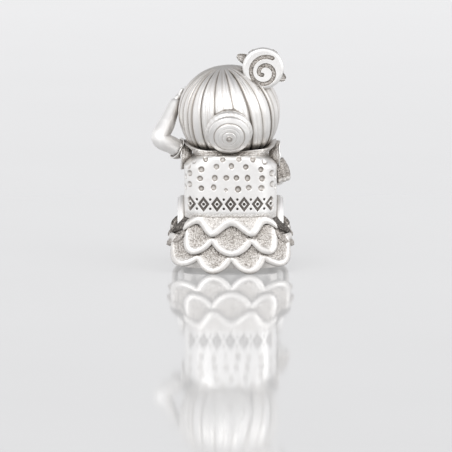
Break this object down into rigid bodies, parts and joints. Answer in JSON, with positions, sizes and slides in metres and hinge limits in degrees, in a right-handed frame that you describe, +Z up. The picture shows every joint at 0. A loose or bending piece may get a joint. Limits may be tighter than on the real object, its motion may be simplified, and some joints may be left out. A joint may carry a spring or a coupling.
{
  "type": "dancer charm bead",
  "caption": "Small cast-silver bracelet bead shaped as a flamenco dancer in a ruffled dress, with a bore through the hips.",
  "frame": {"origin": "middle of the bore that takes the bracelet, which is also midway between the dancer's sides and between back and front of the body", "axes": "+X along the bore towards the dancer's raised left arm, +Y towards the dancer's back, +Z up through the head"},
  "size_m": [0.0114, 0.0107, 0.0173],
  "materials": {
    "silver_polished": "polished sterling silver",
    "silver_satin": "stippled sterling silver",
    "silver_oxidised": "oxidised sterling silver, polished on its high places"
  },
  "bodies": {
    "root": {"arm_left": "silver_polished", "arm_right": "silver_polished", "base_plate": "silver_satin", "bodice": "silver_polished", "bun_button": "silver_polished", "bun_coil": "silver_polished", "bun_ring": "silver_polished", "collar_left": "silver_polished", "collar_right": "silver_polished", "core_tube": "silver_satin", "hair_cap": "silver_oxidised", "hand_left": "silver_polished", "hand_right": "silver_polished", "head": "silver_polished", "neck": "silver_satin", "petticoat": "silver_satin", "rose_leaves": "silver_oxidised", "rose_petals": "silver_oxidised", "rose_spiral": "silver_oxidised", "rose_stud": "silver_satin", "ruffle_back_bottom": "silver_satin", "ruffle_back_middle": "silver_satin", "ruffle_back_top": "silver_satin", "ruffle_front_bottom": "silver_satin", "ruffle_front_middle": "silver_satin", "ruffle_front_top": "silver_satin", "shoulder_frill_left": "silver_oxidised", "shoulder_frill_right": "silver_oxidised", "shoulder_yoke": "silver_oxidised", "sleeve_cuff_left": "silver_oxidised", "sleeve_flounce_right": "silver_oxidised"}
  },
  "joints": []
}
